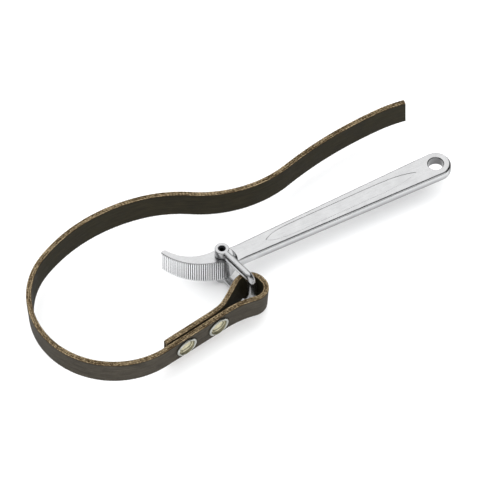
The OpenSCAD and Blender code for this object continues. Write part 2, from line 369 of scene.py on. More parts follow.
# ---------------------------------------------------------------- the forging
PIN = joint_mm("shackle_pivot")[:2]
HANG_R, HOLE_RIM = 5.8, 0.8                      # the hanging hole and its rounded rim
BORE_R, BORE_RIM = 2.88, 0.25                    # the pin's bore and its rim
HOLE_MARGIN = 0.2                                # flat ring kept round each rim
END_R = 11.4                                     # the grip's rounded end
HALF_AT_PIN = 7.2                                # half width of the grip at the pin
EDGE_SLOPE = math.asin((END_R - HALF_AT_PIN) / -PIN[0])
GRIP_Z, BOSS_Z = 4.0, 10.0                       # half thickness of the grip and of the boss
BOSS_R, FLANK_R, FLANK_HOLLOW = 8.1, 12.7, 2.3   # the boss's top, and the hollow flank down to the grip
BOSS_LINE = 0.12                                 # depth of the faint line round the boss's top
# the jaw: its toothed and its smooth face, and where it thins, from the pin
JAW_C, JAW_R = PIN + (5.0, 38.0), 45.3
INNER_C, INNER_R = PIN + (-5.0, 36.5), 30.5
JAW_START = 4.0                                  # where both faces meet the grip, from the pin
TAPER_FROM, JAW_SLOPE = (-8.0, -12.0), 1.3 / 28.0
TIP_ANGLE, ROOT_ANGLE, TEETH, TOOTH_DEPTH = 197.0, 266.0, 34, 0.9
# one tooth: (share of the pitch, depth of cut)
TOOTH = [(0.10, 0.0), (0.40, 0.0), (0.70, 0.0), (0.80, 0.5), (0.90, 0.9), (1.00, 0.5)]
# the rounded tip: its middle's distance from JAW_C, half its thickness, its length
TIP_MID, TIP_HALF, TIP_LONG = 42.85, 2.45, 1.6
GRIP_FILLET, JAW_FILLET, TOOTH_FILLET = 2.2, 0.55, 0.16
# the grip's sunk panel, from the pin, with how square its near and far tips are
PANEL_FROM, PANEL_TO, PANEL_HALF, PANEL_DEPTH = 37.3, 165.5, 4.9, 0.28
PANEL_BLUNT, PANEL_SLIM = 9.5, 5.5
PANEL_SIDE = 0.9                                 # width of the panel's sloping side, seen from above
PANEL_RINGS = (-0.62, -0.45, -0.27, -0.09, 0.09, 0.27, 0.45, 0.62)
ARC_STEPS, FILLET_STEPS = 8, 6


def top_height(x, y):
    """Height of the forging's upper surface over the mid plane, before its edges are rounded."""
    a = x - PIN[0]
    if a <= 0:
        start, full = TAPER_FROM
        if a > start:
            return BOSS_Z
        if a > full:
            return BOSS_Z - JAW_SLOPE * (start - a) ** 2 / (start - full) / 2
        return BOSS_Z - JAW_SLOPE * ((start + full) / 2 - a)
    r = math.hypot(a, y)
    t = min(1.0, max(0.0, (r - BOSS_R) / (FLANK_R - BOSS_R)))
    h = GRIP_Z + (BOSS_Z - GRIP_Z) * (1 - t) ** FLANK_HOLLOW
    if r < BOSS_R + 0.3:
        h -= BOSS_LINE * smooth((r - BOSS_R + 0.6) / 0.9)
    return h - panel_depth(a, y)


def panel_half(a):
    """Half width of the grip's sunk panel, negative beyond its tips."""
    middle, reach = (PANEL_FROM + PANEL_TO) / 2, (PANEL_TO - PANEL_FROM) / 2
    u = (a - middle) / reach
    return PANEL_HALF * (1 - abs(u) ** (PANEL_BLUNT if u < 0 else PANEL_SLIM))


def panel_depth(a, y):
    if not PANEL_FROM - 3 < a < PANEL_TO + 3:
        return 0.0
    return PANEL_DEPTH * smooth(0.5 - (abs(y) - panel_half(a)) / PANEL_SIDE)


def panel_ring(d, count=70):
    """Closed ring round the panel at offset d from its outline."""
    middle, reach = (PANEL_FROM + PANEL_TO) / 2, (PANEL_TO - PANEL_FROM) / 2
    lo = -((1 + d / PANEL_HALF) ** (1 / PANEL_BLUNT))
    hi = (1 + d / PANEL_HALF) ** (1 / PANEL_SLIM)
    side = []
    for k in range(count + 1):
        u = lo + (hi - lo) * (1 - math.cos(math.pi * k / count)) / 2
        a = middle + reach * u
        side.append((a, max(0.0, panel_half(a) + d)))
    return [(PIN[0] + a, -b) for a, b in side] + [(PIN[0] + a, b) for a, b in side[-2:0:-1]]


def half_width(a):
    return HALF_AT_PIN / math.cos(EDGE_SLOPE) + a * math.tan(EDGE_SLOPE)


def grip_fillet(a):
    return JAW_FILLET + (GRIP_FILLET - JAW_FILLET) * smooth((a - 5) / 13)


def forging_outline():
    """The plan outline, anticlockwise: (x, y, edge radius) from the jaw's tip along the teeth, the grip
    and back."""
    out = []
    pitch = (ROOT_ANGLE - TIP_ANGLE) / TEETH
    # rounded tip, from the inner face round to the first tooth
    away = np.array((cosd(TIP_ANGLE), sind(TIP_ANGLE)))
    along = np.array((cosd(TIP_ANGLE - 90), sind(TIP_ANGLE - 90)))
    cap = JAW_C + away * TIP_MID - along * TIP_LONG
    for k in range(2 * ARC_STEPS + 1):
        t = math.pi * k / (2 * ARC_STEPS)
        q = cap - away * TIP_HALF * math.cos(t) + along * TIP_LONG * math.sin(t)
        out.append((q[0], q[1], JAW_FILLET + (TOOTH_FILLET - JAW_FILLET) * smooth((t - 2.0) / 1.0)))
    # the teeth, each cut a little deeper or shallower and a little off its place
    for i in range(1, TEETH):
        cut = 1 + 0.22 * wobble(i * 7.3, 0.5, 0.0)
        slip = 0.07 * wobble(i * 3.7, 9.5, 0.0)
        for share, depth in TOOTH:
            a = TIP_ANGLE + (i + share + slip) * pitch
            out.append((*polar(JAW_C, JAW_R - depth * cut, a), TOOTH_FILLET))
    first, last = ROOT_ANGLE + 0.4, bearing(JAW_C, PIN[0] + JAW_START, -HALF_AT_PIN) % 360
    for k in range(1, 6):
        fillet = TOOTH_FILLET + (JAW_FILLET - TOOTH_FILLET) * k / 5
        out.append((*polar(JAW_C, JAW_R, first + (last - first) * k / 5), fillet))
    # along the grip: close stations where the edge's rounding grows, wide ones after it
    stations = [4.5 + 0.5 * k for k in range(28)] + [19 + 2.4 * k for k in range(68)]
    stations = [a for a in stations if a < -PIN[0] - 1.5]
    for a in stations:
        out.append((PIN[0] + a, -half_width(a), grip_fillet(a)))
    turn = 90 + math.degrees(EDGE_SLOPE)
    for k in range(6 * ARC_STEPS + 1):
        out.append((*polar((0, 0), END_R, -turn + 2 * turn * k / (6 * ARC_STEPS)), GRIP_FILLET))
    for a in reversed(stations):
        out.append((PIN[0] + a, half_width(a), grip_fillet(a)))
    # the smooth inner face, from beside the boss to the tip
    start = bearing(INNER_C, PIN[0] + JAW_START, half_width(JAW_START))
    end = bearing(INNER_C, *(cap - away * TIP_HALF)) % 360 - 360
    for k in range(0, 60):
        out.append((*polar(INNER_C, INNER_R, start + (end - start) * k / 60), JAW_FILLET))
    return out


def inward(points):
    """Unit-offset directions into a closed anticlockwise outline, lengthened at corners."""
    p = np.array(points)
    before, after = p - np.roll(p, 1, 0), np.roll(p, -1, 0) - p
    left = [np.stack([-d[:, 1], d[:, 0]], 1) / np.linalg.norm(d, axis=1)[:, None] for d in (before, after)]
    mid = left[0] + left[1]
    mid /= np.linalg.norm(mid, axis=1)[:, None]
    stretch = 1 / np.maximum(0.6, (mid * left[0]).sum(1))
    return mid * stretch[:, None]


def circle(centre, r, count):
    turns = [2 * math.pi * k / count for k in range(count)]
    return [(centre[0] + r * math.cos(t), centre[1] + r * math.sin(t)) for t in turns]


def build_forging():
    outline = forging_outline()
    flat = np.array([(x, y) for x, y, f in outline])
    fillet = np.array([f for x, y, f in outline])
    into = inward(flat)
    verts, faces = [], []
    rings = []

    def add_ring(points, heights):
        first = len(verts)
        verts.extend((x, y, z) for (x, y), z in zip(points, heights))
        rings.append(range(first, first + len(points)))
        return rings[-1]

    def strip(a, b):
        n = len(a)
        for i in range(n):
            j = (i + 1) % n
            faces.append((a[i], a[j], b[j], b[i]))

    # the rounded edge, from the side wall up to the flat
    previous = None
    side = None
    for k in range(FILLET_STEPS + 1):
        t = math.pi / 2 * k / FILLET_STEPS
        pts = flat + into * (fillet * (1 - math.cos(t)))[:, None]
        ring = add_ring(pts, [top_height(*q) - f * (1 - math.sin(t)) for q, f in zip(pts, fillet)])
        if previous is not None:
            strip(previous, ring)
        else:
            side = ring
        previous = ring
    margin = np.minimum(0.25, fillet * 0.8)
    pts = flat + into * (fillet + margin)[:, None]
    edge_ring = add_ring(pts, [top_height(*q) for q in pts])
    strip(previous, edge_ring)

    # the two bores and their rounded rims
    holes = []
    for centre, r, rim, count in ((PIN, BORE_R, BORE_RIM, 48), ((0.0, 0.0), HANG_R, HOLE_RIM, 72)):
        wall = None
        last = None
        for k in range(FILLET_STEPS + 1):
            t = math.pi / 2 * k / FILLET_STEPS
            c = circle(centre, r + rim * (1 - math.cos(t)), count)
            ring = add_ring(c, [top_height(*q) - rim * (1 - math.sin(t)) for q in c])
            if last is not None:
                strip(ring, last)
            else:
                wall = ring
            last = ring
        c = circle(centre, r + rim + HOLE_MARGIN, count)
        ring = add_ring(c, [top_height(*q) for q in c])
        strip(ring, last)
        holes.append((centre, r + rim + HOLE_MARGIN, wall, ring))

    # loose points where the surface curves: the boss's flank, and the line where the jaw starts to thin
    loose = []
    for i in range(30):
        r = BOSS_R - 0.7 + i * 0.2
        for k in range(-40, 41):
            a = math.radians(k * 1.5)
            x, y = r * math.cos(a), r * math.sin(a)
            if abs(y) < half_width(x) - grip_fillet(x) - 0.55:
                loose.append((PIN[0] + x, y))
    clear = 1.3                                  # keeps loose points off the rounded edges
    for i in range(9):
        x = TAPER_FROM[0] + (TAPER_FROM[1] - TAPER_FROM[0]) * i / 8
        lower = JAW_C[1] - math.sqrt(JAW_R ** 2 - (PIN[0] + x - JAW_C[0]) ** 2) + clear
        upper = INNER_C[1] - math.sqrt(INNER_R ** 2 - (PIN[0] + x - INNER_C[0]) ** 2) - clear
        for k in range(10):
            loose.append((PIN[0] + x, lower + (upper - lower) * k / 9))

    # fill the flat between the rings
    coords, edges, ids = [], [], []

    def constrain(points, existing=None):
        first = len(coords)
        coords.extend(Vector(q) for q in points)
        ids.extend(existing if existing is not None else [None] * len(points))
        n = len(points)
        edges.extend((first + i, first + (i + 1) % n) for i in range(n))

    constrain([verts[i][:2] for i in edge_ring], list(edge_ring))
    for centre, r, wall, ring in holes:
        constrain([verts[i][:2] for i in ring], list(ring))
    for d in PANEL_RINGS:
        constrain(panel_ring(d))
    for q in loose:
        coords.append(Vector(q))
        ids.append(None)
    out, _, tris, source, _, _ = delaunay_2d_cdt(coords, edges, [], 1, 1e-7)
    index = []
    for v, src in zip(out, source):
        known = [ids[s] for s in src if ids[s] is not None]
        if known:
            index.append(known[0])
        else:
            index.append(len(verts))
            verts.append((v.x, v.y, top_height(v.x, v.y)))
    for tri in tris:
        mid = sum((out[i] for i in tri), Vector((0, 0))) / 3
        if any((mid - Vector(c)).length < r - 0.01 for c, r, _, _ in holes):
            continue
        faces.append(tuple(index[i] for i in tri))

    # the lower half is the mirror image; side walls join the two
    half = len(verts)
    verts.extend([(x, y, -z) for x, y, z in verts[:half]])
    faces.extend([tuple(half + i for i in reversed(f)) for f in faces[:]])
    n = len(side)
    for i in range(n):
        j = (i + 1) % n
        faces.append((side[i], half + side[i], half + side[j], side[j]))
    for _, _, wall, _ in holes:
        n = len(wall)
        for i in range(n):
            j = (i + 1) % n
            faces.append((wall[i], wall[j], half + wall[j], half + wall[i]))
    return verts, faces


PAINTED_REFLECTION_TOWARDS = (0.93, -0.37)                    # direction of the painted dark reflection on the grip's rounded end


def forging_grime_and_painted_light(p, base, colour, roughness):
    """Painted shade with grime in the jaw's grooves, painted highlights on its crests, painted shade in the
    hole and low on the grip's wall, a painted reflection on the grip's end.
    """
    x, y, z = (p.part(p.millimetres(), axis) for axis in "XYZ")
    away = p.plan_distance(JAW_C)
    on_jaw = p.span(x, PIN[0] + JAW_START, PIN[0] + JAW_START - 0.5)
    groove = p.math("MULTIPLY", p.span(away, JAW_R - TOOTH_DEPTH * 1.6, JAW_R - TOOTH_DEPTH * 1.1),
                    p.span(away, JAW_R, JAW_R - TOOTH_DEPTH))
    groove = p.math("MULTIPLY", groove, on_jaw)
    # painted shade, with oil grime, darkens the tooth grooves
    colour = p.mix(p.math("MULTIPLY", groove, 0.85), colour, shade(base, 0.22))
    roughness = p.math("ADD", roughness, p.math("MULTIPLY", groove, 0.12))
    # painted highlight: the tooth crests are made brighter
    crest = p.span(away, JAW_R - TOOTH_DEPTH * 0.6, JAW_R - TOOTH_DEPTH * 0.2)
    colour = p.mix(p.math("MULTIPLY", crest, on_jaw), colour, shade(base, 1.35))
    # painted shade darkens the wall of the hanging hole
    hole_painted_shade = p.span(p.plan_distance((0.0, 0.0)), HANG_R + 0.6, HANG_R + 0.15, 0.0, 0.75)
    colour = p.mix(hole_painted_shade, colour, shade(base, 0.22))
    # painted shade darkens the lower part of the grip's side wall
    on_grip = p.span(x, PIN[0] + 22.0, PIN[0] + 32.0)
    low = p.math("MULTIPLY", on_grip, p.span(z, 1.6, -2.4, 0.0, 0.80))
    colour = p.mix(low, colour, shade(base, 0.30))
    # painted reflection: a dark patch on the grip's rounded end
    facing = p.math("ADD", *(p.math("MULTIPLY", c, towards) for c, towards in zip((x, y), PAINTED_REFLECTION_TOWARDS)))
    patch = p.math("MULTIPLY", p.span(facing, 8.0, 9.8), p.span(z, 3.75, 3.0))
    colour = p.mix(p.math("MULTIPLY", patch, 0.92), colour, shade(base, 0.10))
    return colour, roughness


# ---------------------------------------------------------------- the shackle
BAR_R = 3.3
ARM_Z = 13.8                                     # height of each arm's centre line over the mid plane
REACH = 34.6                                     # from the pin's axis to the crossbar's
SHACKLE_ANGLE = -80.8
BEND_R = 5.2
EYE_R = 5.4
ARM_START = 3.4                                  # where the bar leaves the eye, from the pin's axis
PIN_R = 2.8
PIN_HALF = ARM_Z + BAR_R - 1.2                   # half length: the ends sit 1.2 mm below the eyes' faces


def tube_path():
    """Centre line of the bent bar in the shackle's own frame: along one arm, round, across and back."""
    inner = REACH - BEND_R
    pts = [(ARM_START + (inner - ARM_START) * k / 24, ARM_Z) for k in range(25)]
    pts += [(inner + BEND_R * sind(6 * k), ARM_Z - BEND_R * (1 - cosd(6 * k))) for k in range(1, 16)]
    straight = ARM_Z - BEND_R
    pts += [(REACH, straight - 2 * straight * k / 12) for k in range(1, 12)]
    pts += [(x, -z) for x, z in reversed(pts[:40])]
    return pts


def bar_section(s):
    """Half width and half height of the bar: flattened a little where it runs into the eye."""
    near_eye = 1 - smooth((s - ARM_START) / 9)
    return BAR_R - 0.25 * near_eye, BAR_R


def build_tube(sides=40):
    path = tube_path()
    verts, faces = [], []
    n = len(path)
    for i, (x, z) in enumerate(path):
        a, b = path[max(0, i - 1)], path[min(n - 1, i + 1)]
        d = Vector((b[0] - a[0], 0, b[1] - a[1])).normalized()
        across = Vector((0, 1, 0))
        up = d.cross(across)
        w, h = bar_section(min(x, 30))
        for k in range(sides):
            t = 2 * math.pi * k / sides
            q = Vector((x, 0, z)) + across * (w * math.cos(t)) + up * (h * math.sin(t))
            verts.append(tuple(q))
    for i in range(n - 1):
        for k in range(sides):
            j = (k + 1) % sides
            faces.append((i * sides + k, i * sides + j, (i + 1) * sides + j, (i + 1) * sides + k))
    faces.append(tuple(range(sides - 1, -1, -1)))
    faces.append(tuple((n - 1) * sides + k for k in range(sides)))
    return verts, faces


def build_eye(z):
    lo, hi = z - BAR_R, z + BAR_R
    return lathe([(r, h) for r, h in rounded(
        [(PIN_R, lo, 0.5), (EYE_R, lo, 1), (EYE_R, hi, 1), (PIN_R, hi, 0.5)], 0.7)], 64)


def union(parts, name):
    """One clean mesh from closed shells that run into each other."""
    objs = []
    for i, (verts, faces) in enumerate(parts):
        me = bpy.data.meshes.new(f"{name}_{i}")
        me.from_pydata(verts, [], faces)
        o = bpy.data.objects.new(f"{name}_{i}", me)
        bpy.context.scene.collection.objects.link(o)
        outward(o)
        objs.append(o)
    for other in objs[1:]:
        m = objs[0].modifiers.new("join", "BOOLEAN")
        m.operation, m.solver, m.object = "UNION", "EXACT", other
    bpy.context.view_layer.update()
    dg = bpy.context.evaluated_depsgraph_get()
    me = bpy.data.meshes.new_from_object(objs[0].evaluated_get(dg))
    verts = [tuple(v.co) for v in me.vertices]
    faces = [tuple(p.vertices) for p in me.polygons]
    for o in objs:
        bpy.data.objects.remove(o)
    return verts, faces


# ---------------------------------------------------------------- the belt's route
BELT_HALF, PLY_GAP = 2.0, 0.2
PLY_SEAM = 0.66                                  # where the belt's own plies meet, either side of its middle
LOOP_R = 10.75
LOOP_EXIT, LOOP_ENTRY = 258.75, 127.0            # where the long and the short ply leave the loop
# stretches of the belt, each (length, 0) if straight, or (radius, turn in degrees)
FOLD = [(68, 20.25), (58, 0), (60, -15)]
NEAR = [(60, -70), (66, -76)]
FAR = [(130, -40), (100, -22)]
TAIL = [(90, 49.5), (320, -15.5), (110, -11)]
PLY_BEND_R = 16.0
SHORT_PLY = 54.5
CROSSBAR = joint_mm("strap_pivot")[:2]
LOOP_OFFSET, LOOP_OFFSET_ANGLE = 3.5, -130
LOOP_C = CROSSBAR + LOOP_OFFSET * np.array((cosd(LOOP_OFFSET_ANGLE), sind(LOOP_OFFSET_ANGLE)))
FIRST_RIVET, RIVET_PITCH = 9.8, 30.0


def step(s, seg):
    """A state (x, y, heading) moved along one stretch."""
    x, y, h = s
    r, turn = seg
    if turn == 0:
        return (x + r * cosd(h), y + r * sind(h), h)
    side = 1 if turn > 0 else -1
    cx, cy = x - side * r * sind(h), y + side * r * cosd(h)
    g = h + turn
    return (cx + side * r * sind(g), cy - side * r * cosd(g), g)


def walk(s, route):
    for seg in route:
        s = step(s, seg)
    return s


def seg_length(seg):
    return seg[0] if seg[1] == 0 else seg[0] * math.radians(abs(seg[1]))


fold_start = (*polar(LOOP_C, LOOP_R, LOOP_EXIT), LOOP_EXIT - 90)
straight_start = step(fold_start, FOLD[0])
entry = (*polar(LOOP_C, LOOP_R, LOOP_ENTRY), LOOP_ENTRY + 90)
ply_pitch = 2 * BELT_HALF + PLY_GAP
ply_turn = straight_start[2] - entry[2]
ply_drop = ((entry[0] - straight_start[0]) * sind(straight_start[2])
            - (entry[1] - straight_start[1]) * cosd(straight_start[2]) - ply_pitch)
ply_run = (ply_drop - PLY_BEND_R * (1 - cosd(ply_turn))) / sind(-ply_turn)
ply_meets = walk(entry, [(ply_run, 0), (PLY_BEND_R, ply_turn)])
ply_lead = ((ply_meets[0] - straight_start[0]) * cosd(straight_start[2])
            + (ply_meets[1] - straight_start[1]) * sind(straight_start[2]))
end_state = step(ply_meets, (SHORT_PLY - ply_lead, 0))
short_end = (end_state[0], end_state[1], end_state[2] - 180)
ROUTE = [(SHORT_PLY - ply_lead, 0), (PLY_BEND_R, -ply_turn), (ply_run, 0),
         (LOOP_R, LOOP_EXIT - 360 - LOOP_ENTRY)]
loop_segments = len(ROUTE)
ROUTE += FOLD + NEAR + FAR + TAIL
LENGTHS = [seg_length(seg) for seg in ROUTE]
STARTS = [short_end]
for seg in ROUTE[:-1]:
    STARTS.append(step(STARTS[-1], seg))
RUN = np.concatenate([[0], np.cumsum(LENGTHS)])
STRAIGHT_AT = RUN[loop_segments + 1]
FLEX_1 = RUN[loop_segments + len(FOLD)]
FLEX_2 = FLEX_1 + sum(map(seg_length, NEAR))
FLEX_3 = FLEX_2 + sum(map(seg_length, FAR))
BELT_END = RUN[-1]
RIVETS = [STRAIGHT_AT + FIRST_RIVET, STRAIGHT_AT + FIRST_RIVET + RIVET_PITCH]


def route_state(s):
    i = int(np.searchsorted(RUN, s, side="right")) - 1
    i = min(max(i, 0), len(ROUTE) - 1)
    r, turn = ROUTE[i]
    d = s - RUN[i]
    if turn == 0:
        return step(STARTS[i], (d, 0))
    return step(STARTS[i], (r, turn * d / LENGTHS[i]))


STEP = 0.6
table_s = np.arange(0, BELT_END + STEP, STEP)
raw = np.array([route_state(min(s, BELT_END)) for s in table_s])


def ease_headings():
    """The route with its sudden changes of curvature eased, as a springy belt bends."""
    h = raw[:, 2].copy()
    kernel = np.hanning(15)
    kernel /= kernel.sum()
    eased = np.convolve(np.pad(h, 7, mode="edge"), kernel, mode="valid")
    eased[:8] = h[:8]
    eased[-8:] = h[-8:]
    return eased


HEADINGS = ease_headings()

FOLD_LEAN = 5.2                                  # the belt's lean, which fades along its tail
SPREAD_LEAN = 9.0                                # the short ply's lean the other way, on its way to the loop
FOLD_OUT = straight_start[2] + 90                # direction that the folded stretch leans to


def lean(s):
    """Lean of the belt's upper edge towards its outer face, in degrees."""
    if s < STRAIGHT_AT:
        facing = cosd(route_state(s)[2] + 90 - FOLD_OUT)
        spread = smooth((s - SHORT_PLY + 12) / 18) if facing < 0 else 0
        return facing * (FOLD_LEAN - (FOLD_LEAN + SPREAD_LEAN) * spread)
    return FOLD_LEAN * (1 - 0.75 * smooth((s - FLEX_3 - 10) / 90))


EDGE_Z = 9.5                                     # where the cut edge turns into the faces
EDGE_FLARE = 1.3                                 # how far the short ply's edges stand off the long ply


def flare(s, v):
    """Offset of the short ply away from the long ply, which it touches at mid height only."""
    share = smooth(s / 6 + 0.6) * (1 - smooth((s - SHORT_PLY + 14) / 26))
    return EDGE_FLARE * share * (abs(v) / 10) ** 2.4


OUTER, INNER, CUT = 0, 1, 2                      # the belt's materials: two faces and the cut edge
# half of the cut edge's outline, (through the belt, up it): three plies with a seam between each two
HALF_RAISED = [(0.2, 9.97), (0.5, 9.8), (PLY_SEAM, 9.45), (0.82, 9.8), (1.15, 9.96), (1.6, 9.95), (1.9, 9.78),
               (BELT_HALF, EDGE_Z)]
RAISED = [(-u, v) for u, v in reversed(HALF_RAISED)] + HALF_RAISED
FACE_LEVELS = [EDGE_Z * (1 - k / 10) for k in range(1, 20)]
SECTION = ([(u, v, CUT) for u, v in RAISED]
           + [(BELT_HALF, v, OUTER) for v in FACE_LEVELS]
           + [(-u, -v, CUT) for u, v in RAISED]
           + [(-BELT_HALF, -v, INNER) for v in FACE_LEVELS])
SIDES = len(SECTION)
STRIP_MATERIAL = []
for k in range(SIDES):
    u0, u1 = SECTION[k][0], SECTION[(k + 1) % SIDES][0]
    STRIP_MATERIAL.append(OUTER if u0 == u1 == BELT_HALF else INNER if u0 == u1 == -BELT_HALF else CUT)


def dent(s, v):
    """How far a point of the belt's outer face is pushed in by the rivet heads."""
    push = 0.0
    for at in RIVETS:
        d = math.hypot(s - at, v)
        if d < 12:
            under = 2.9 * (1 - smooth((d - 5.9) / 1.6))
            rim = 0.35 * (1 - smooth((d - 8.3) / 2.6))
            push = max(push, under, rim)
    return push


def fuzz(s, u, v):
    """How far the cut edge's fibres stand out: twisted cords in each ply, and loose ends."""
    ply = 0 if abs(u) < PLY_SEAM else (1 if u > 0 else 2)
    twist = math.sin(2 * math.pi * s / 2.3 + ply * 2.1 + u * 2.4 + wobble(s * 0.11, ply, 1.0) * 2)
    frayed = 0.16 * wobble(s * 0.9, u * 1.7, 5.0 + (v > 0))
    return 0.10 * twist + frayed + 0.06 * wobble(s * 0.2, u, 9.0)


def belt_mesh(s0, s1):
    """Points, their belt coordinates, faces and materials of the belt between two places along it."""
    count = max(2, int(round((s1 - s0) / STEP)))
    verts, belt, faces, mats = [], [], [], []
    for i in range(count + 1):
        s = s0 + (s1 - s0) * i / count
        x, y, _ = route_state(s)
        h = float(np.interp(s, table_s, HEADINGS))
        normal = np.array((-sind(h), cosd(h)))
        phi = lean(s)
        ripple = 0.12 * wobble(s * 0.02, 3.1, 0.0)
        for u, v, kind in SECTION:
            uu, vv = u, v
            if kind == CUT:
                vv += math.copysign(fuzz(s, u, v) - 0.12, v)
            elif kind == OUTER:
                uu -= dent(s, v)
                uu += 0.03 * wobble(s * 0.25, v * 0.3, 2.0)
            else:
                uu += 0.03 * wobble(s * 0.25, v * 0.3, 7.0)
            across = (uu + flare(s, v)) * cosd(phi) + vv * sind(phi) + ripple
            verts.append((x + normal[0] * across, y + normal[1] * across, vv * cosd(phi) - uu * sind(phi)))
            belt.append((s, u, v))
    for i in range(count):
        for k in range(SIDES):
            j = (k + 1) % SIDES
            faces.append((i * SIDES + k, i * SIDES + j, (i + 1) * SIDES + j, (i + 1) * SIDES + k))
            mats.append(STRIP_MATERIAL[k])
    return verts, belt, faces, mats, count


def end_cap(faces, mats, row, flip):
    """Closes a belt end with a strip of quads between the two faces' rows of points."""
    base = row * SIDES
    m = len(RAISED)
    f = len(FACE_LEVELS)
    outer = [base + m - 1 + k for k in range(f + 2)]
    inner = [base + (SIDES - k) % SIDES for k in range(f + 2)]
    # outer runs down the outer face, inner runs down the inner face
    for k in range(f + 1):
        quad = (outer[k], outer[k + 1], inner[k + 1], inner[k])
        faces.append(quad if flip else quad[::-1])
        mats.append(CUT)
    top = [base + k for k in range(m)]
    bottom = [base + m + f + k for k in range(m)]
    for ring in (top, bottom):
        faces.append(tuple(ring) if not flip else tuple(reversed(ring)))
        mats.append(CUT)


def belt_piece(name, s0, s1, materials):
    verts, belt, faces, mats, count = belt_mesh(s0, s1)
    for row, flip in ((0, True), (count, False)):
        end_cap(faces, mats, row, flip)
    obj = make(name, verts, faces, materials, "belt", mats, sharp=50)
    at = obj.data.attributes.new("belt", "FLOAT_VECTOR", "POINT")
    at.data.foreach_set("vector", np.array(belt, np.float32).ravel())
    return outward(obj)


# ---------------------------------------------------------------- materials in use
forged = chrome("forged_chrome", (0.56, 0.562, 0.568), 0.20, grime_and_painted_light=forging_grime_and_painted_light)
drawn = chrome("bar_chrome", (0.54, 0.543, 0.55), 0.25, along=(1.2, 1.2, 1.2))
black_spring = plated("spring_steel", (0.055, 0.055, 0.06), (0.03, 0.03, 0.032), 0.42)
zinc = plated("rivet_plating", (0.52, 0.53, 0.50), (0.36, 0.37, 0.33), 0.30)
brassy = plated("rivet_dish", (0.80, 0.76, 0.58), (0.62, 0.58, 0.42), 0.55, 0.3)
# the bowl's wall: a darker base colour, painted shade all round the inside of the dish
dish_wall_painted_shade = plated("rivet_dish_wall_painted_shade", (0.30, 0.28, 0.18), (0.16, 0.15, 0.10), 0.5, 0.5)
dull = plated("washer_plating", (0.62, 0.61, 0.57), (0.46, 0.45, 0.42), 0.42)
outer_face = rubber("belt_outer_face", (0.022, 0.018, 0.012), (0.078, 0.068, 0.053))
inner_face = rubber("belt_inner_face", (0.011, 0.009, 0.004), (0.032, 0.027, 0.015))
edge = cut_edge("belt_cut_edge", (0.075, 0.048, 0.022), (0.42, 0.32, 0.19), (0.008, 0.005, 0.003))

# ---------------------------------------------------------------- pieces
def place(name, mesh, materials, slot, node, body, material_of=None, sharp=40):
    """Makes a piece that stands for one CAD node and moves with its body."""
    piece = outward(make(name, *mesh, materials, slot, material_of, sharp))
    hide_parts(node)
    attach(piece, body)


place("forged_handle", build_forging(), [forged], "forged_chrome", "handle", "handle")

to_shackle = Matrix.Translation((PIN[0], PIN[1], 0)) @ Matrix.Rotation(math.radians(SHACKLE_ANGLE), 4, "Z")
bent_verts, bent_faces = union([build_tube(), build_eye(ARM_Z), build_eye(-ARM_Z)], "bar")
place("bent_shackle", (moved(bent_verts, to_shackle), bent_faces), [drawn], "bar_chrome", "shackle",
      "shackle", sharp=35)

PIN_SIDES, PIN_WALL = 40, 1.0
PIN_TAPER, PIN_TAPER_LONG = 0.25, 0.9
SLOT_HALF = math.asin(0.4 / PIN_R)               # half of the slot's angle, for a slot 0.8 mm wide


def build_pin():
    """The rolled spring pin: a slotted tube with tapered ends."""
    verts, faces = [], []
    levels = [(-PIN_HALF, PIN_TAPER), (-PIN_HALF + PIN_TAPER_LONG, 0.0),
              (PIN_HALF - PIN_TAPER_LONG, 0.0), (PIN_HALF, PIN_TAPER)]
    for z, pull in levels:
        for k in range(PIN_SIDES + 1):
            a = SLOT_HALF + (2 * math.pi - 2 * SLOT_HALF) * k / PIN_SIDES
            for r in (PIN_R - pull, PIN_R - PIN_WALL):
                verts.append((r * math.cos(a), r * math.sin(a), z))
    row = 2 * (PIN_SIDES + 1)
    for i in range(len(levels) - 1):
        for k in range(PIN_SIDES):
            o, p = i * row + 2 * k, (i + 1) * row + 2 * k
            faces += [(o, o + 2, p + 2, p), (o + 1, p + 1, p + 3, o + 3)]
        for k in (0, PIN_SIDES):
            o, p = i * row + 2 * k, (i + 1) * row + 2 * k
            faces.append((o, p, p + 1, o + 1))
    for i in (0, len(levels) - 1):
        for k in range(PIN_SIDES):
            o = i * row + 2 * k
            faces.append((o, o + 1, o + 3, o + 2))
    return moved(verts, to_shackle), faces


place("spring_pin", build_pin(), [black_spring], "spring_steel", "pivot_pin", "shackle", sharp=30)

# rivets and their washers, square to the leaning belt
HEAD_R, SHANK_R = 8.9, 4.6
HEAD_SQUEEZE = 0.1                               # the heads are pressed a little oval, less high than long
RIM_R, RIM_RISE, RIM_MID = 0.95, 0.88, 0.62      # the rolled rim's roundness, across and up, and its middle
BOWL_R, BOWL_DEPTH, BOWL_STEPS = HEAD_R - 2.1, 1.75, 9
ROLL_SPLITS = (205, 222, 243)                    # directions in which the rolled rim has split
STACK = 2 * BELT_HALF * 2 + PLY_GAP
WASHER_R, WASHER_T, WASHER_PLAY = 7.2, 0.8, 0.02


def rivet_frame(n):
    s = RIVETS[n]
    x, y, h = route_state(s)
    phi = lean(s)
    out = Vector((-sind(h) * cosd(phi), cosd(h) * cosd(phi), -sind(phi)))
    up = Vector((-sind(h) * sind(phi), cosd(h) * sind(phi), cosd(phi)))
    along = up.cross(out)
    m = Matrix((along, up, out)).transposed().to_4x4()
    m.translation = Vector((x, y, 0)) + out * BELT_HALF
    return m


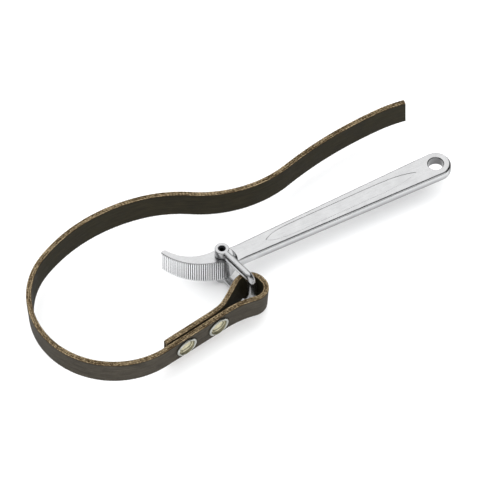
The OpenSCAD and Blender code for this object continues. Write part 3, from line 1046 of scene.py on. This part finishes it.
def rivet_profile():
    """(radius, height) from under the bowl, down to the rolled tail, up the shank and round the head."""
    tail = -STACK - WASHER_T
    rim = [(HEAD_R - RIM_R + RIM_R * cosd(a), RIM_MID + RIM_RISE * sind(a)) for a in range(-60, 181, 20)]
    bowl = [(BOWL_R, 0.42)]
    for k in range(1, BOWL_STEPS + 1):
        r = BOWL_R * (1 - k / BOWL_STEPS)
        bowl.append((r, -BOWL_DEPTH + 2.1 * (r / BOWL_R) ** 2.4))
    under = [(0.0, -2.9), (SHANK_R - 0.9, -3.0), (SHANK_R - 0.8, tail - 0.5)]
    roll = [(SHANK_R + 0.5 + 1.0 * cosd(a), tail - 0.25 + 0.95 * sind(a)) for a in range(200, 375, 25)]
    return under + roll + [(SHANK_R, tail), (SHANK_R, -0.35), (HEAD_R - 1.2, -0.35)] + rim + bowl


def build_rivet(n):
    def split(a):
        off = [(math.degrees(a) - c + 180) % 360 - 180 for c in (*ROLL_SPLITS[:2], ROLL_SPLITS[2] + 9 * n)]
        return sum(math.exp(-d ** 2 / 22.0) for d in off)

    def shape(a, r, z):
        if r < HEAD_R - 2.6 or z < -1:
            return r, z
        rough = 0.05 * wobble(3 * math.cos(a), 3 * math.sin(a), n * 5.0 + z)
        cracked = split(a)
        return r + rough - 0.16 * cracked * (r > HEAD_R - 1), z + rough - 0.32 * cracked * (z > 0.5)

    def material(face):
        """0 for the rim and the hidden tail, 1 for the bowl's floor and 2 for its wall, which carries painted
        shade.
        """
        centre = sum(math.hypot(verts[v][0], verts[v][1]) for v in face) / len(face)
        height = sum(verts[v][2] for v in face) / len(face)
        if centre > HEAD_R - 1.9 or height < -2.5:
            return 0
        return 2 if centre > HEAD_R - 3.2 else 1

    verts, faces = lathe(rivet_profile(), 96, shape)
    verts = [(x, y * (1 - HEAD_SQUEEZE * smooth((z + 2.2) / 1.8)), z) for x, y, z in verts]
    return verts, faces, [material(f) for f in faces]


def build_washer():
    bore, lo, hi = SHANK_R + WASHER_PLAY, -STACK - WASHER_T, -STACK
    corners = [(bore, lo, 0.4), (WASHER_R, lo, 1), (WASHER_R, hi, 1), (bore, hi, 0.4)]
    return lathe(rounded(corners, 0.25, 3), 72)


for n, label in enumerate(("front", "rear")):
    square = rivet_frame(n)
    verts, faces, mats = build_rivet(n)
    place(f"{label}_tubular_rivet", (moved(verts, square), faces), [zinc, brassy, dish_wall_painted_shade], "rivet_metal",
          f"{label}_rivet", "strap_end", mats, sharp=42)
    verts, faces = build_washer()
    place(f"{label}_washer", (moved(verts, square), faces), [dull], "washer_metal", f"{label}_rivet_washer",
          "strap_end")

# the belt in three lengths, each reaching across one flexing line; they meet where nothing bends
MEET_1 = (FLEX_1 + FLEX_2) / 2
MEET_2 = (FLEX_2 + FLEX_3) / 2


for label, s0, s1, flex, at, bodies, nodes in (
        ("belt_fold", 0.0, MEET_1, "strap_flex_near", FLEX_1,
         ("strap_end", "strap_near"), ("strap_fold", "strap_near")),
        ("belt_round", MEET_1, MEET_2, "strap_flex_far", FLEX_2,
         ("strap_near", "strap_far"), ("strap_near", "strap_far")),
        ("belt_tail", MEET_2, BELT_END, "strap_flex_tail", FLEX_3,
         ("strap_far", "strap_tail"), ("strap_far", "strap_tail"))):
    piece = belt_piece(label, s0, s1, [outer_face, inner_face, edge])
    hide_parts(*nodes)
    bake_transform(piece)

# ---------------------------------------------------------------- floor and light
FLOOR_Z, FLOOR_HALF = cad_lo.z, 6
corners = [(FLOOR_HALF * i, FLOOR_HALF * j, FLOOR_Z) for i, j in ((-1, -1), (1, -1), (1, 1), (-1, 1))]
floor_mesh = bpy.data.meshes.new("floor")
floor_mesh.from_pydata(corners, [], [(0, 1, 2, 3)])
floor = bpy.data.objects.new("floor", floor_mesh)
bpy.context.scene.collection.objects.link(floor)
pale = Paint("pale_floor", Roughness=0.9)
pale.set("Base Color", pale.mix(pale.noise(pale.millimetres(), 0.01), (0.90, 0.90, 0.90), (0.88, 0.88, 0.88)))
pale.shader.inputs["Emission Color"].default_value = (1, 1, 1, 1)
pale.shader.inputs["Emission Strength"].default_value = 0.06
floor_mesh.materials.append(pale.mat)


def softbox(name, azimuth, elevation, away, size, glow, mirrored=True):
    """A square light of even radiance glow. Its azimuth goes anticlockwise from the camera's right, seen
    from above. One that isn't mirrored lights the scene and doesn't show in the plating."""
    a = math.radians(AZIMUTH + azimuth)
    e = math.radians(elevation)
    d = Vector((math.cos(a) * math.cos(e), math.sin(a) * math.cos(e), math.sin(e)))
    data = bpy.data.lights.new(name, "AREA")
    data.shape, data.size, data.energy = "SQUARE", size, glow * math.pi * size ** 2
    light = bpy.data.objects.new(name, data)
    light.location = TARGET + d * away
    light.rotation_mode = "QUATERNION"
    light.rotation_quaternion = (-d).to_track_quat("-Z", "Y")
    light.visible_glossy = mirrored
    bpy.context.scene.collection.objects.link(light)


softbox("back_light", 95, 48, 1.5, 2.3, 1.4)
softbox("left_light", 185, 45, 1.9, 0.9, 0.6)
softbox("front_light", 268, 30, 1.9, 2.1, 1.05)
softbox("top_light", 268, 76, 1.7, 1.0, 0.35)
softbox("right_light", 325, 25, 1.9, 1.3, 0.9)
softbox("fill_light", 230, 70, 1.9, 2.2, 1.0, mirrored=False)

world = bpy.data.worlds.new("studio")
world.use_nodes = True
world.node_tree.nodes["Background"].inputs["Color"].default_value = (0.97, 0.985, 1.0, 1.0)
world.node_tree.nodes["Background"].inputs["Strength"].default_value = 0.72
bpy.context.scene.world = world
world.cycles_visibility.glossy = False
bpy.context.scene.view_settings.view_transform = "Standard"

bpy.context.view_layer.update()
